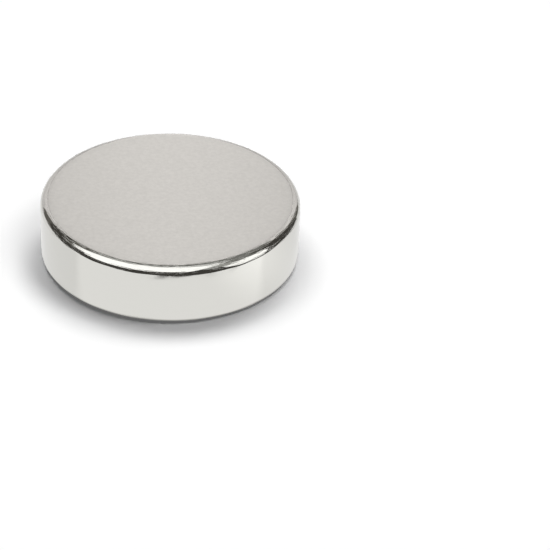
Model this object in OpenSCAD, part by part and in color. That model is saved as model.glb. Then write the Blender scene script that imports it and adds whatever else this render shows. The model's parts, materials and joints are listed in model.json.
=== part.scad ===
// Disc magnet: one sintered slug, ground flat on both poles, tumbled until its
// edges are round, and nickel plated all over. It lies on one pole face, with
// the origin at the middle of that face and +Z along the magnet's own axis.

/* [Magnet] */
// Diameter over the plated rim
disc_d = 20; // [12:0.5:30]
// Thickness from pole face to pole face
disc_t = 5; // [3:0.25:10]
// Radius of the tumbled edge, where a pole face turns into the rim
edge_r = 0.6; // [0.2:0.05:1.2]

/* [Hidden] */

// Facets on a full circle
$fn = 128;
// Radius of the rim
rim_r = disc_d / 2;
// Radius of the flat part of a pole face, inside the rounded edge
pole_r = rim_r - edge_r;
// Height of the straight part of the rim, between the two rounded edges
rim_h = disc_t - 2 * edge_r;
// Heights of the centres of the two edge rounds
edge_centres = [edge_r, disc_t - edge_r];

// Half of the magnet's section, to the right of the axis
module half_section() {
    // Pole face to pole face
    square([pole_r, disc_t]);
    // The straight rim
    translate([0, edge_r])
        square([rim_r, rim_h]);
    // The rounded edges, tangent to both
    for (height = edge_centres)
        translate([pole_r, height])
            circle(r = edge_r);
}

module magnet() {
    color([0.85, 0.85, 0.83])
        rotate_extrude()
            half_section();
}

magnet();
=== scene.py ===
"""A disc magnet: one bright nickel plated slug, lying on a pole face."""

import json
import math

import bpy
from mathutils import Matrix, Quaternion, Vector, noise


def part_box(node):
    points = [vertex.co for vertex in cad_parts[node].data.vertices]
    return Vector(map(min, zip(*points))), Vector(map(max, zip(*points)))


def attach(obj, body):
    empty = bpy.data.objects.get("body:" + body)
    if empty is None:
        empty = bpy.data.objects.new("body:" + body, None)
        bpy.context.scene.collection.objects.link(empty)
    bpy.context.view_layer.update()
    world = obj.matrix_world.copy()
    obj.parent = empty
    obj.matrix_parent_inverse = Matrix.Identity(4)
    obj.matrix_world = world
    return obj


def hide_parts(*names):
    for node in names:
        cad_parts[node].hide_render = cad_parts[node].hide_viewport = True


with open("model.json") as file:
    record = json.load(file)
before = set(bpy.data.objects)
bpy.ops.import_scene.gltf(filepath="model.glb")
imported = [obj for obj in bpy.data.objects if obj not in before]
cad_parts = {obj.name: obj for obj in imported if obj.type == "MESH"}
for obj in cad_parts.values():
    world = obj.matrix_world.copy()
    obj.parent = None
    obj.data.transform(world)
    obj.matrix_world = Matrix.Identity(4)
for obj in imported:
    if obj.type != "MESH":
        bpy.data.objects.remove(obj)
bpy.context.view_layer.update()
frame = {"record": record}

MM = 0.001

# The magnet's own sizes, from the frame
node_low, node_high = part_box("magnet")
rim_mount = next(m for m in frame["record"]["mounts"] if m["name"] == "rim")
magnet_r = rim_mount["dims"]["r_mm"] * MM
magnet_t = node_high.z - node_low.z
edge_r = (magnet_t - rim_mount["dims"]["length_mm"] * MM) / 2

# What tumbling and plating do to the plain shape
face_fall = math.radians(1.6)      # slope of a pole face where it meets its rounded edge
face_fall_w = 0.9 * MM             # width of the ring over which it gets there
wave_depth = 0.022 * MM            # how far the tumbled edge wanders in from its true round
wave_round = 1.5 * MM              # length of its waves round the magnet
wave_across = 0.5 * MM             # length of its waves across the edge
wave_start_w = 0.3 * edge_r        # width over which the waves come in, beside a pole face
satin_rough = 0.30                 # roughness of a ground pole face, through its plating
bright_rough = 0.07                # roughness of the tumbled edges and the rim
satin_end = 0.05 * MM              # the satin stops this far inside the edge of the pole face,
bright_start = 0.03 * MM           # and the bright finish is full this far outside it
grain = 0.3 * MM                   # size of the satin grain of a pole face
grain_band = (0.3, 0.7)            # the grain turns from dark to light between these values of its noise
scratch_run = 0.9 * MM             # length of the fine scratches that run round the rounded edges
scratch_w = 0.08 * MM              # wider than most real ones, so that they show at this size
scratch_depth = 0.004 * MM
scratch_rough = 0.25               # what a scratch adds to the roughness
scratch_band = (0.46, 0.70)        # a scratch comes up between these values of its noise
scratch_end = 0.03 * MM            # the scratches fade out this far inside the rim,
rim_plain = 0.015 * MM             # and are gone this far inside it

# How finely the mesh is drawn
ring_steps = 720                   # steps round the magnet
edge_steps = 30                    # steps over one rounded edge
fall_steps = 8
rim_steps = 12
flat_shares = (0.25, 0.5, 0.75)    # where the flat's inner rings lie
support = 0.02 * MM                # a narrow step beside each flat, which keeps its shading flat

# The photograph's view of the magnet
photo_px = 550
underside_px = (170.1, 251.3)      # where the middle of the underside lies in the photograph
radius_px = 128.3                  # the magnet's radius, in the photograph's pixels
camera_distance = 200 * MM
camera_elevation = math.radians(33.3)
camera_roll = math.radians(0.6)
sensor_mm = 36.0

# The studio's light and paper, where a level of 1 is white
sun_spread = 27                    # degrees of sky that each lamp fills
softbox_level = 1.48               # its bands in the metal come out just short of white
floor_half = 600 * MM
floor_glow = 0.135                 # what the rim throws back into the shadow
mirror_sheets_z = -0.02 * MM       # the lying sheets that the metal mirrors, just under the floor
pool_r = 90 * MM                   # half the width of the bright pool in the middle of the backdrop
pool_level = 1.33                  # at the very middle,
beside_pool_level = 0.54           # falling to this at its sides
side_start = 80 * MM               # the backdrop grows lighter again from here,
side_full = 180 * MM               # to here,
side_gain = 0.33                   # by this much
foot_z = 50 * MM                   # up to here the backdrop has only a share of its light,
foot_level = 0.70                  # this one,
foot_full_z = 420 * MM             # and from here it has all of it


def linear(hex_colour):
    """An sRGB colour, such as D9D8D3, as the linear red, green, blue and alpha that shaders take."""
    channels = [int(hex_colour[i:i + 2], 16) / 255 for i in (0, 2, 4)]
    return tuple(c / 12.92 if c <= 0.04045 else ((c + 0.055) / 1.055) ** 2.4 for c in channels) + (1.0,)


def add_node(tree, kind, inputs=None, **settings):
    """Adds a node. Settings are its properties, and inputs are values, or sockets to link from."""
    made = tree.nodes.new(kind)
    for name, value in settings.items():
        setattr(made, name, value)
    for name, value in (inputs or {}).items():
        if isinstance(value, bpy.types.NodeSocket):
            tree.links.new(value, made.inputs[name])
        else:
            made.inputs[name].default_value = value
    return made


def empty_material(name):
    material = bpy.data.materials.new(name)
    material.use_nodes = True
    material.node_tree.nodes.clear()
    return material, material.node_tree


def direction(azimuth, elevation):
    """A unit direction. Azimuth 0 points to the camera's side and 90 to its right, in degrees."""
    a = math.radians(azimuth)
    e = math.radians(elevation)
    return Vector((math.sin(a) * math.cos(e), -math.cos(a) * math.cos(e), math.sin(e)))


# The magnet's shape

def half_profile():
    """Points (radius, height) down the section, from the middle of the upper face to mid height."""
    points = [(0.0, 0.0)]
    flat_r = magnet_r - edge_r - face_fall_w
    for share in flat_shares:
        points.append((flat_r * share, 0.0))
    points.append((flat_r - support, 0.0))
    arc_start_r = magnet_r - edge_r + edge_r * math.sin(face_fall)
    fall_w = arc_start_r - flat_r
    # A cubic that starts level and ends at the slope of the fall
    drop = math.tan(face_fall) * fall_w / 3
    for i in range(fall_steps):
        s = i / fall_steps
        points.append((flat_r + fall_w * s, -drop * s ** 3))
    centre_z = -drop - edge_r * math.cos(face_fall)
    for i in range(edge_steps + 1):
        turn = face_fall + (math.pi / 2 - face_fall) * i / edge_steps
        points.append((magnet_r - edge_r + edge_r * math.sin(turn), centre_z + edge_r * math.cos(turn)))
    return [(r, magnet_t + z) for r, z in points]


def magnet_profile():
    upper = half_profile()
    lower = [(r, magnet_t - z) for r, z in reversed(upper)]
    rim_top = upper[-1][1]
    rim_low = lower[0][1]
    rim = [rim_top - support]
    for i in range(1, rim_steps):
        rim.append(rim_top + (rim_low - rim_top) * i / rim_steps)
    rim.append(rim_low + support)
    return upper + [(magnet_r, z) for z in rim] + lower


def tumbled(point):
    """Moves a point of the rounded edges and the rim inwards by the shallow waves that tumbling leaves."""
    out = math.hypot(point.x, point.y)
    if out <= magnet_r - edge_r:
        return point
    hub = Vector((magnet_r - edge_r, max(edge_r, min(magnet_t - edge_r, point.z))))
    normal = Vector((out, point.z)) - hub
    normal.normalize()
    fade = min(1.0, (out - magnet_r + edge_r) / wave_start_w)
    turn = math.atan2(point.y, point.x)
    across = edge_r * math.atan2(normal.y, normal.x) + (point.z - magnet_t / 2)
    foot = Vector((magnet_r * math.cos(turn), magnet_r * math.sin(turn), 0))
    wave = 0.5 + 0.5 * noise.noise(foot / wave_round + Vector((0, 0, across / wave_across)))
    shift = -wave_depth * wave * fade
    new_out = out + shift * normal.x
    return Vector((new_out * math.cos(turn), new_out * math.sin(turn), point.z + shift * normal.y))


def lathe(name, profile):
    """A closed body of revolution about Z through the profile's points."""
    rings = profile[1:-1]
    turns = [2 * math.pi * i / ring_steps for i in range(ring_steps)]
    points = [Vector((0.0, 0.0, profile[0][1]))]
    for r, z in rings:
        points += [tumbled(Vector((r * math.cos(t), r * math.sin(t), z))) for t in turns]
    points.append(Vector((0.0, 0.0, profile[-1][1])))
    last = len(points) - 1
    faces = []
    for i in range(ring_steps):
        j = (i + 1) % ring_steps
        faces.append((0, 1 + i, 1 + j))
        for k in range(len(rings) - 1):
            upper = 1 + k * ring_steps
            lower = upper + ring_steps
            faces.append((upper + i, lower + i, lower + j, upper + j))
        base = 1 + (len(rings) - 1) * ring_steps
        faces.append((last, base + j, base + i))
    mesh = bpy.data.meshes.new(name)
    mesh.from_pydata(points, [], faces)
    mesh.polygons.foreach_set("use_smooth", [True] * len(mesh.polygons))
    mesh.update()
    piece = bpy.data.objects.new(name, mesh)
    bpy.context.scene.collection.objects.link(piece)
    return piece


# Finishes

def nickel_plate():
    """Bright nickel over a tumbled magnet. It gives the eye two finishes: a satin pole face with a faint
    grain, and a rim and rounded edges that mirror the room, the edges broken by fine scratches."""
    material, tree = empty_material("bright_nickel_plate")
    coords = add_node(tree, "ShaderNodeTexCoord")
    across = add_node(tree, "ShaderNodeVectorMath", {0: coords.outputs["Object"], 1: (1.0, -1.0, 0.0)},
                      operation="MULTIPLY")
    from_axis = add_node(tree, "ShaderNodeVectorMath", {0: across.outputs["Vector"]}, operation="LENGTH")
    on_face = add_node(tree, "ShaderNodeMapRange", {
        "Value": from_axis.outputs["Value"],
        "From Min": magnet_r - edge_r - satin_end,
        "From Max": magnet_r - edge_r + bright_start,
        "To Min": 1.0,
        "To Max": 0.0,
    }, interpolation_type="SMOOTHSTEP")
    satin = add_node(tree, "ShaderNodeMapRange", {
        "Value": on_face.outputs["Result"],
        "To Min": bright_rough,
        "To Max": satin_rough,
    })
    # Coarser than the real grain, so that it shows at this size
    speckle = add_node(tree, "ShaderNodeTexNoise", {
        "Vector": coords.outputs["Object"],
        "Scale": 1 / grain,
        "Detail": 3.0,
        "Roughness": 0.6,
    })
    swing = add_node(tree, "ShaderNodeMapRange", {
        "Value": speckle.outputs["Fac"],
        "From Min": grain_band[0],
        "From Max": grain_band[1],
        "To Min": -0.5,
        "To Max": 0.5,
    })
    tone = add_node(tree, "ShaderNodeMath", {
        0: swing.outputs["Result"],
        1: on_face.outputs["Result"],
        2: 0.5,
    }, operation="MULTIPLY_ADD")
    plate = add_node(tree, "ShaderNodeMixRGB", {
        "Fac": tone.outputs["Value"],
        "Color1": linear("D5D4CF"),
        "Color2": linear("DEDDD8"),
    })
    # Round the magnet, out from its axis and up it, each in lengths or widths of a scratch
    place = add_node(tree, "ShaderNodeSeparateXYZ", {"Vector": coords.outputs["Object"]})
    sides = add_node(tree, "ShaderNodeSeparateXYZ", {"Vector": across.outputs["Vector"]})
    turn = add_node(tree, "ShaderNodeMath", {0: sides.outputs["X"], 1: sides.outputs["Y"]},
                    operation="ARCTAN2")
    turned = add_node(tree, "ShaderNodeMath", {0: turn.outputs["Value"], 1: magnet_r / scratch_run},
                      operation="MULTIPLY")
    out = add_node(tree, "ShaderNodeMath", {0: from_axis.outputs["Value"], 1: scratch_w},
                   operation="DIVIDE")
    up = add_node(tree, "ShaderNodeMath", {0: place.outputs["Z"], 1: scratch_w}, operation="DIVIDE")
    along = add_node(tree, "ShaderNodeCombineXYZ", {
        "X": turned.outputs["Value"],
        "Y": out.outputs["Value"],
        "Z": up.outputs["Value"],
    })
    marks = add_node(tree, "ShaderNodeTexNoise", {
        "Vector": along.outputs["Vector"],
        "Scale": 1.0,
        "Detail": 1.0,
    })
    scratches = add_node(tree, "ShaderNodeMapRange", {
        "Value": marks.outputs["Fac"],
        "From Min": scratch_band[0],
        "From Max": scratch_band[1],
    }, interpolation_type="SMOOTHSTEP")
    on_rim = add_node(tree, "ShaderNodeMapRange", {
        "Value": from_axis.outputs["Value"],
        "From Min": magnet_r - scratch_end,
        "From Max": magnet_r - rim_plain,
    })
    plain = add_node(tree, "ShaderNodeMath", {0: on_face.outputs["Result"], 1: on_rim.outputs["Result"]},
                     operation="MAXIMUM")
    on_edge = add_node(tree, "ShaderNodeMath", {0: 1.0, 1: plain.outputs["Value"]}, operation="SUBTRACT")
    scratched = add_node(tree, "ShaderNodeMath", {
        0: scratches.outputs["Result"],
        1: on_edge.outputs["Value"],
    }, operation="MULTIPLY")
    rough = add_node(tree, "ShaderNodeMath", {
        0: scratched.outputs["Value"],
        1: scratch_rough,
        2: satin.outputs["Result"],
    }, operation="MULTIPLY_ADD")
    grooves = add_node(tree, "ShaderNodeBump", {
        "Height": scratched.outputs["Value"],
        "Distance": scratch_depth,
    }, invert=True)
    shader = add_node(tree, "ShaderNodeBsdfPrincipled", {
        "Base Color": plate.outputs["Color"],
        "Metallic": 1.0,
        "Roughness": rough.outputs["Value"],
        "Normal": grooves.outputs["Normal"],
    })
    add_node(tree, "ShaderNodeOutputMaterial", {"Surface": shader.outputs["BSDF"]})
    return material


# The studio

def sun(name, facing, level):
    """Light on the floor alone, from a round patch of sky in that direction."""
    lamp = bpy.data.lights.new(name, "SUN")
    lamp.angle = math.radians(sun_spread)
    lamp.energy = level * math.pi
    ball = bpy.data.objects.new(name, lamp)
    ball.rotation_mode = "QUATERNION"
    ball.rotation_quaternion = direction(*facing).to_track_quat("Z", "Y")
    ball.visible_glossy = False
    ball.visible_camera = False
    # Its light reaches the floor by shadow rays alone, which the magnet stops
    lamp.cycles.use_multiple_importance_sampling = False
    bpy.context.scene.collection.objects.link(ball)


def sheet(name, points, faces, material):
    mesh = bpy.data.meshes.new(name)
    mesh.from_pydata(points, [], faces)
    mesh.materials.append(material)
    made = bpy.data.objects.new(name, mesh)
    bpy.context.scene.collection.objects.link(made)
    return made


def only_mirrored(made):
    made.visible_camera = False
    made.visible_diffuse = False
    made.visible_transmission = False
    made.visible_shadow = False


def card(name, edges, distance, material):
    """A card that stands in the studio and shows in the metal alone. It is stretched from edge to edge,
    and each edge is given by the directions of its lower and its upper end."""
    points = []
    for lower, upper in edges:
        points.append(distance * direction(*lower))
        points.append(distance * direction(*upper))
    faces = [(2 * i, 2 * i + 2, 2 * i + 3, 2 * i + 1) for i in range(len(edges) - 1)]
    only_mirrored(sheet(name, points, faces, material))


def light_panel(name, facing, distance, size, shift, roll, outline, material):
    """A softbox that shows in the metal alone. It stands square to the direction facing, with its middle
    shifted to the right and up, all as shares of the distance, and its outline fills a square of side 2."""
    towards = direction(*facing)
    right = Vector((-towards.y, towards.x, 0)).normalized()
    up = towards.cross(right)
    turned = Quaternion(towards, math.radians(roll))
    middle = towards + shift[0] * right + shift[1] * up
    points = []
    for u, v in outline:
        points.append(distance * (middle + turned @ (u * size[0] / 2 * right + v * size[1] / 2 * up)))
    only_mirrored(sheet(name, points, [tuple(range(len(points)))], material))


def lying_sheet(name, corners_mm, z, material):
    """A sheet that lies on the floor and shows in the metal alone."""
    points = [(x * MM, y * MM, z) for x, y in corners_mm]
    only_mirrored(sheet(name, points, [tuple(range(len(points)))], material))


def even_card(name, colour, level=1.0):
    material, tree = empty_material(name)
    glow = add_node(tree, "ShaderNodeEmission", {"Color": linear(colour), "Strength": level})
    add_node(tree, "ShaderNodeOutputMaterial", {"Surface": glow.outputs["Emission"]})
    return material


def backdrop_paper():
    """Pale grey paper behind the magnet: a bright pool in its middle, dimmer beside it, and less light
    at its foot."""
    material, tree = empty_material("pale_grey_paper")
    coords = add_node(tree, "ShaderNodeTexCoord")
    place = add_node(tree, "ShaderNodeSeparateXYZ", {"Vector": coords.outputs["Object"]})
    aside = add_node(tree, "ShaderNodeMath", {0: place.outputs["X"]}, operation="ABSOLUTE")
    middle = add_node(tree, "ShaderNodeMapRange", {
        "Value": aside.outputs["Value"],
        "From Min": 0.0,
        "From Max": pool_r,
        "To Min": pool_level,
        "To Max": beside_pool_level,
    }, interpolation_type="SMOOTHSTEP")
    sides = add_node(tree, "ShaderNodeMapRange", {
        "Value": aside.outputs["Value"],
        "From Min": side_start,
        "From Max": side_full,
        "To Min": 0.0,
        "To Max": side_gain,
    }, interpolation_type="SMOOTHSTEP")
    across = add_node(tree, "ShaderNodeMath", {0: middle.outputs["Result"], 1: sides.outputs["Result"]},
                      operation="ADD")
    foot = add_node(tree, "ShaderNodeMapRange", {
        "Value": place.outputs["Z"],
        "From Min": foot_z,
        "From Max": foot_full_z,
        "To Min": foot_level,
        "To Max": 1.0,
    })
    level = add_node(tree, "ShaderNodeMath", {0: across.outputs["Value"], 1: foot.outputs["Result"]},
                     operation="MULTIPLY")
    glow = add_node(tree, "ShaderNodeEmission", {
        "Color": linear("FFFCFC"),
        "Strength": level.outputs["Value"],
    })
    add_node(tree, "ShaderNodeOutputMaterial", {"Surface": glow.outputs["Emission"]})
    return material


def mirrored_paper():
    """White paper under the magnet as the metal mirrors it, with painted light and shade: brighter to the
    right, dimmer to the rear, and a painted shadow where the magnet's own edge shades it."""
    right_x = (5.5 * MM, 14 * MM)      # painted light makes it brighter to the right between these,
    right_y = (-7 * MM, 1 * MM)        # most in front of these and not at all behind them
    right_level = 1.24
    rear_y = (-8 * MM, -6.6 * MM)      # painted shade makes it dimmer to the rear between these
    rear_level = 0.88
    edge_shade = (-0.3 * MM, 0.4 * MM)  # the magnet's painted shadow ends between these, out from its rim
    shade_level = 0.15
    material, tree = empty_material("white_paper_in_the_mirror")
    coords = add_node(tree, "ShaderNodeTexCoord")
    place = add_node(tree, "ShaderNodeSeparateXYZ", {"Vector": coords.outputs["Object"]})
    front_right = add_node(tree, "ShaderNodeMapRange", {
        "Value": place.outputs["Y"],
        "From Min": right_y[0],
        "From Max": right_y[1],
        "To Min": right_level,
        "To Max": 1.0,
    })
    across = add_node(tree, "ShaderNodeMapRange", {
        "Value": place.outputs["X"],
        "From Min": right_x[0],
        "From Max": right_x[1],
        "To Min": 1.0,
        "To Max": front_right.outputs["Result"],
    }, interpolation_type="SMOOTHSTEP")
    back = add_node(tree, "ShaderNodeMapRange", {
        "Value": place.outputs["Y"],
        "From Min": rear_y[0],
        "From Max": rear_y[1],
        "To Min": 1.0,
        "To Max": rear_level,
    }, interpolation_type="SMOOTHSTEP")
    from_axis = add_node(tree, "ShaderNodeVectorMath", {0: coords.outputs["Object"]}, operation="LENGTH")
    shade = add_node(tree, "ShaderNodeMapRange", {
        "Value": from_axis.outputs["Value"],
        "From Min": magnet_r + edge_shade[0],
        "From Max": magnet_r + edge_shade[1],
        "To Min": shade_level,
        "To Max": 1.0,
    }, interpolation_type="SMOOTHSTEP")
    lit = add_node(tree, "ShaderNodeMath", {0: across.outputs["Result"], 1: back.outputs["Result"]},
                   operation="MULTIPLY")
    level = add_node(tree, "ShaderNodeMath", {0: lit.outputs["Value"], 1: shade.outputs["Result"]},
                     operation="MULTIPLY")
    glow = add_node(tree, "ShaderNodeEmission", {"Color": (1, 1, 1, 1), "Strength": level.outputs["Value"]})
    add_node(tree, "ShaderNodeOutputMaterial", {"Surface": glow.outputs["Emission"]})
    return material


def floor_paper():
    """Matt white paper, which takes the magnet's soft shadow. Its own faint glow stands for the light
    that the bright rim throws back into that shadow."""
    material, tree = empty_material("matt_white_paper")
    paper = add_node(tree, "ShaderNodeBsdfDiffuse", {"Color": linear("F6F6F6")})
    glow = add_node(tree, "ShaderNodeEmission", {"Color": linear("F6F6F6"), "Strength": floor_glow})
    both = add_node(tree, "ShaderNodeAddShader", {0: paper.outputs["BSDF"], 1: glow.outputs["Emission"]})
    add_node(tree, "ShaderNodeOutputMaterial", {"Surface": both.outputs["Shader"]})
    return material


def white_world():
    """White to the camera and in mirrors, and no light on matt surfaces, which the lamps see to."""
    world = bpy.data.worlds.new("studio")
    bpy.context.scene.world = world
    world.use_nodes = True
    tree = world.node_tree
    tree.nodes.clear()
    rays = add_node(tree, "ShaderNodeLightPath")
    mirrored = add_node(tree, "ShaderNodeMath", {
        0: rays.outputs["Is Glossy Ray"],
        1: rays.outputs["Is Transmission Ray"],
    }, operation="MAXIMUM")
    seen = add_node(tree, "ShaderNodeMath", {
        0: rays.outputs["Is Camera Ray"],
        1: mirrored.outputs["Value"],
    }, operation="MAXIMUM")
    white = add_node(tree, "ShaderNodeBackground", {
        "Color": (1, 1, 1, 1),
        "Strength": seen.outputs["Value"],
    })
    add_node(tree, "ShaderNodeOutputWorld", {"Surface": white.outputs["Background"]})


def studio():
    white_world()
    corners = [(-floor_half, -floor_half, 0), (floor_half, -floor_half, 0), (floor_half, floor_half, 0),
               (-floor_half, floor_half, 0)]
    floor = sheet("floor", corners, [(0, 1, 2, 3)], floor_paper())
    floor.visible_glossy = False
    floor.visible_shadow = False
    sun("key", (154, 64), 0.455)
    sun("right_light", (75, 60), 0.28)
    sun("left_light", (216, 65), 0.345)

    # The floor as the metal mirrors it: white paper near the magnet, and dark felt beyond it
    black = even_card("black_felt", "454340")
    lying_sheet("felt_in_the_mirror", [
        (-300, -300), (340, -300), (20, -18), (26, -9.6), (400, -40), (400, 400), (-300, 400),
    ], mirror_sheets_z, black)
    lying_sheet("paper_in_the_mirror", [
        (0, -16.7), (4, -16.1), (7.7, -14.1), (11.6, -11.4), (15.2, -8.7), (20, -5), (27, -1), (27, 15),
        (300, 246), (300, 300), (-300, 300), (-300, 120), (-190, 90), (-70, 18), (-40, 3), (-30, -2),
        (-28, -5), (-25.5, -8), (-21, -10), (-17, -11), (-14, -12), (-11.5, -13.5), (-9, -15),
        (-4.5, -16.1),
    ], mirror_sheets_z / 2, mirrored_paper())

    # Nearer cards hide farther ones
    cloth = even_card("softbox_cloth", "FFFFFF", softbox_level)
    square = [(-1, -1), (1, -1), (1, 1), (-1, 1)]
    circle = [(math.cos(math.radians(a)), math.sin(math.radians(a))) for a in range(0, 360, 10)]
    light_panel("front_softbox", (-25, 52), 350 * MM, (1.96, 1.40), (-0.19, 0.035), 3, square, cloth)
    light_panel("side_softbox", (70, 14), 300 * MM, (0.76, 0.74), (0, 0), 8, circle, cloth)
    card("black_flag_right_of_the_side_softbox", [
        ((84.5, -2), (90, 33)), ((96, -2), (96, 33)),
    ], 280 * MM, black)
    card("black_flag_below_the_front_softbox", [
        ((-88, 5), (-86, 29)), ((-79, 5), (-79, 28)), ((-71, 5), (-71, 22)), ((-63, 5), (-63, 19)),
        ((-50, 5), (-50, 19)), ((-38, 5), (-38, 17)), ((-18, 5), (-18, 19)), ((-3, 5), (-3, 24)),
        ((6, 5), (6, 24)), ((17, 5), (17, 20)), ((24, 5), (24, 29)), ((31, 5), (31, 35)),
    ], 300 * MM, black)
    card("black_card_left_and_front", [
        ((-153, 46), (-153, 48)), ((-145, 41), (-145, 49)), ((-136, 34), (-134, 47)),
        ((-128, 27), (-124, 43)), ((-123, 17), (-114, 37)), ((-117, 8), (-105, 31)), ((-108, 1), (-98, 24)),
        ((-98, -2), (-90, 21)), ((-88, -2), (-84, 25)), ((-80, -2), (-80, 38)), ((-60, -2), (-60, 38)),
        ((-30, -2), (-30, 38)), ((0, -2), (0, 38)), ((30, -2), (30, 38)), ((47, -2), (44, 40)),
    ], 600 * MM, black)
    charcoal = even_card("charcoal_card", "66645F")
    card("charcoal_card_left", [
        ((-162, 45), (-162, 53)), ((-151, 41), (-146, 57)), ((-145, 27), (-132, 56)),
        ((-139, 8), (-120, 51)), ((-131, 1), (-108, 44)), ((-115, -2), (-97, 34)), ((-90, -2), (-80, 30)),
    ], 650 * MM, charcoal)
    card("black_card_right", [
        ((88, -2), (95, 51)), ((105, -2), (109, 53)), ((130, -2), (126, 52)),
    ], 600 * MM, black)
    card("charcoal_card_right", [
        ((120, -2), (120, 56)), ((134, -2), (131, 53)), ((147, 6), (139, 45)),
    ], 650 * MM, charcoal)
    card("backdrop", [((azimuth, 0), (azimuth, 46)) for azimuth in (115, 135, 155, 180, 205, 225, 245)],
         800 * MM, backdrop_paper())
    card("grey_card_behind", [
        ((128, 36), (118, 72)), ((150, 36), (140, 76)), ((180, 36), (180, 82)), ((210, 36), (210, 76)),
        ((238, 36), (232, 66)),
    ], 950 * MM, even_card("grey_card", "80807D"))
    card("pale_grey_card_right", [
        ((40, 28), (40, 45)), ((50, 28), (50, 53)), ((62, 28), (62, 61)),
    ], 850 * MM, even_card("mid_grey_card", "ABABA8"))
    card("grey_card_right", [
        ((40, 28), (40, 45)), ((60, 28), (60, 60)), ((80, 28), (80, 66)), ((100, 28), (100, 69)),
        ((125, 28), (120, 71)),
    ], 900 * MM, even_card("dark_grey_card", "868683"))


def photo_camera():
    """The photograph's camera: turned, not shifted, so that the magnet lies where the photograph has it."""
    camera = bpy.data.objects.new("camera", bpy.data.cameras.new("camera"))
    bpy.context.scene.collection.objects.link(camera)
    bpy.context.scene.camera = camera
    focal_px = radius_px * camera_distance / magnet_r
    camera.data.sensor_width = sensor_mm
    camera.data.lens = sensor_mm * focal_px / photo_px
    camera.data.clip_start = camera_distance / 10
    camera.data.clip_end = camera_distance * 10
    back = direction(0, math.degrees(camera_elevation))
    straight = back.to_track_quat("Z", "Y")
    roll = Quaternion((0, 0, 1), camera_roll)
    right_px = underside_px[0] - photo_px / 2
    up_px = photo_px / 2 - underside_px[1]
    aside = Vector((right_px / focal_px, up_px / focal_px, -1))
    aim = aside.rotation_difference(Vector((0, 0, -1)))
    camera.location = back * camera_distance
    camera.rotation_mode = "QUATERNION"
    camera.rotation_quaternion = straight @ roll @ aim


photo_camera()
studio()

magnet = lathe("nickel_plated_disc", magnet_profile())
magnet.data.materials.append(nickel_plate())
magnet.visible_diffuse = False     # its gleam isn't thrown on the paper, so its shadow stays plain
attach(magnet, "root")
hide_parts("magnet")

bpy.context.scene.view_settings.view_transform = "Standard"
